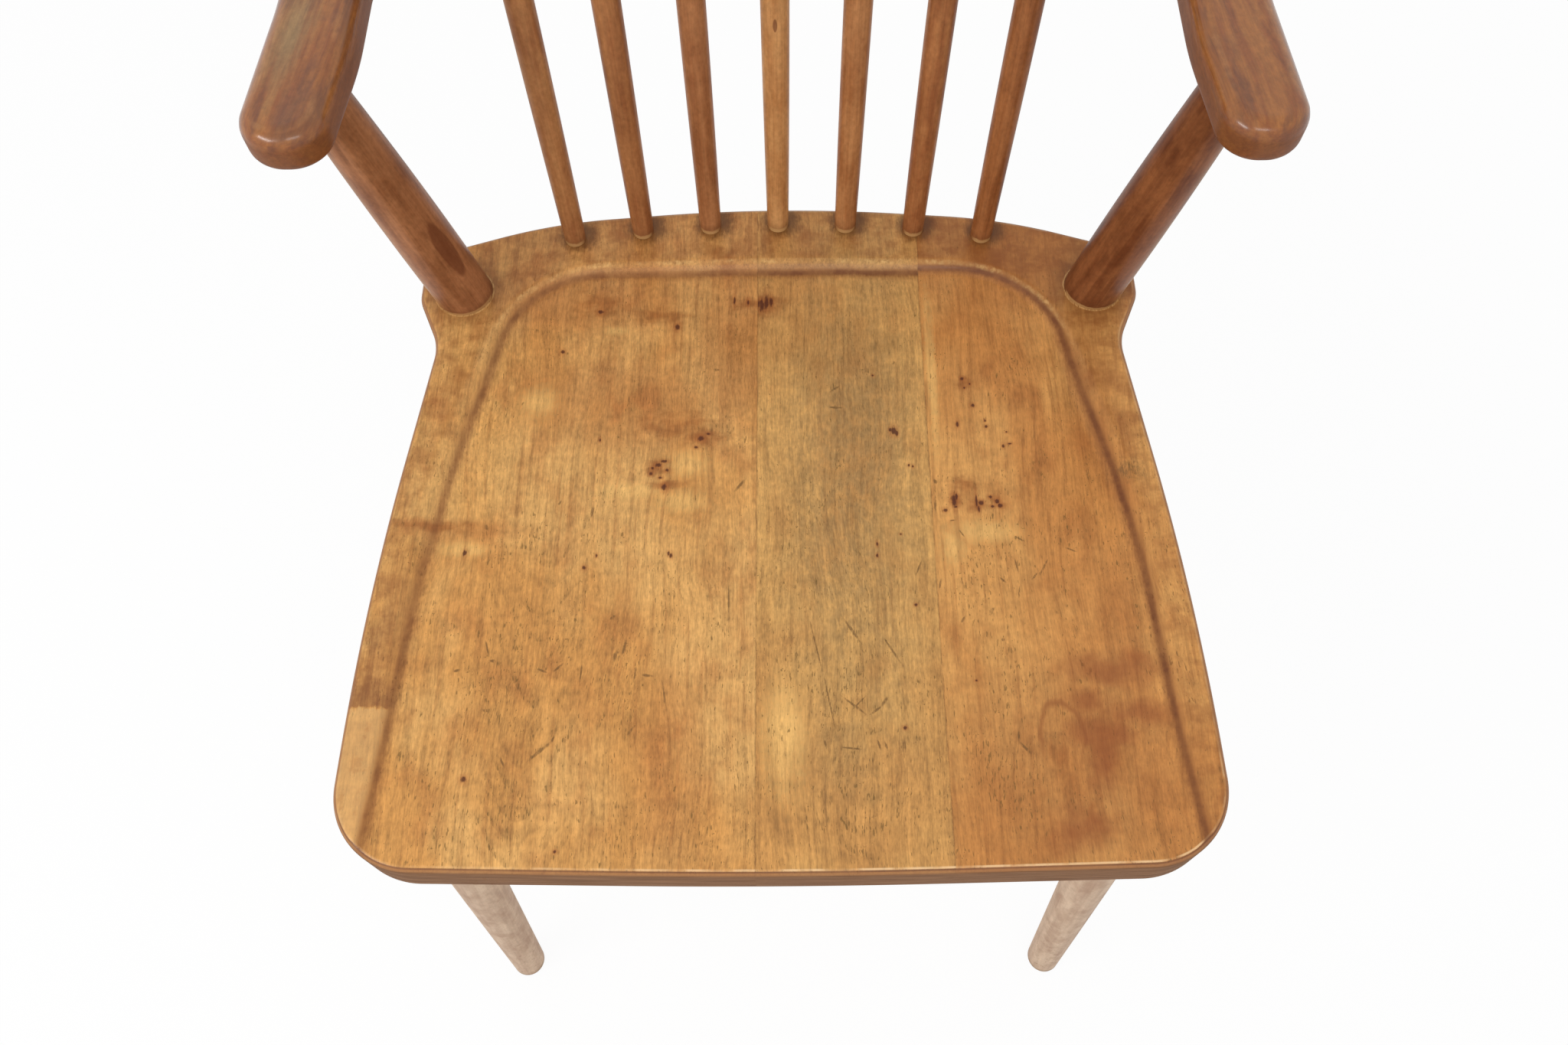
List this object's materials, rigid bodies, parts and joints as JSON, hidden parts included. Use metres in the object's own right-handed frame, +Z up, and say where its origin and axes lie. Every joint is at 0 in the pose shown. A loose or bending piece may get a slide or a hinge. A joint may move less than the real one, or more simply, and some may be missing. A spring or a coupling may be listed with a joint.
{
  "type": "captains chair",
  "caption": "Low-back wooden armchair: saddled plank seat on splayed turned legs, with an arm bow and crest rail carried by turned posts and spindles.",
  "frame": {"origin": "on the floor, under the middle of the chair's overall box", "axes": "+Z up, the sitter faces -Y, +X is to the right of someone who looks at the chair from its front; the outline is a mirror image about X = 0"},
  "size_m": [0.5286, 0.5233, 0.7357],
  "materials": {
    "seat_wood": "worn satin lacquer on honey-coloured birch",
    "arm_wood": "satin lacquer, darkened by handling",
    "turned_wood": "satin lacquer on stained birch",
    "leg_wood": "satin lacquer, worn at the feet",
    "dowel_wood": "bare beech"
  },
  "bodies": {
    "root": {"seat_board_left": "seat_wood", "seat_board_middle": "seat_wood", "seat_board_right": "seat_wood", "leg_front_left": "leg_wood", "leg_front_right": "leg_wood", "leg_rear_left": "leg_wood", "leg_rear_right": "leg_wood", "arm_post_left": "turned_wood", "arm_post_right": "turned_wood", "spindle_1": "turned_wood", "spindle_2": "turned_wood", "spindle_3": "turned_wood", "spindle_4": "turned_wood", "spindle_5": "turned_wood", "spindle_6": "turned_wood", "spindle_7": "turned_wood", "arm_left": "arm_wood", "bow_back": "arm_wood", "arm_right": "arm_wood", "crest_rail": "arm_wood", "bow_dowel_left_front": "dowel_wood", "bow_dowel_left_rear": "dowel_wood", "bow_dowel_right_front": "dowel_wood", "bow_dowel_right_rear": "dowel_wood", "crest_dowel_1": "dowel_wood", "crest_dowel_2": "dowel_wood", "crest_dowel_3": "dowel_wood", "crest_dowel_4": "dowel_wood"}
  },
  "joints": []
}
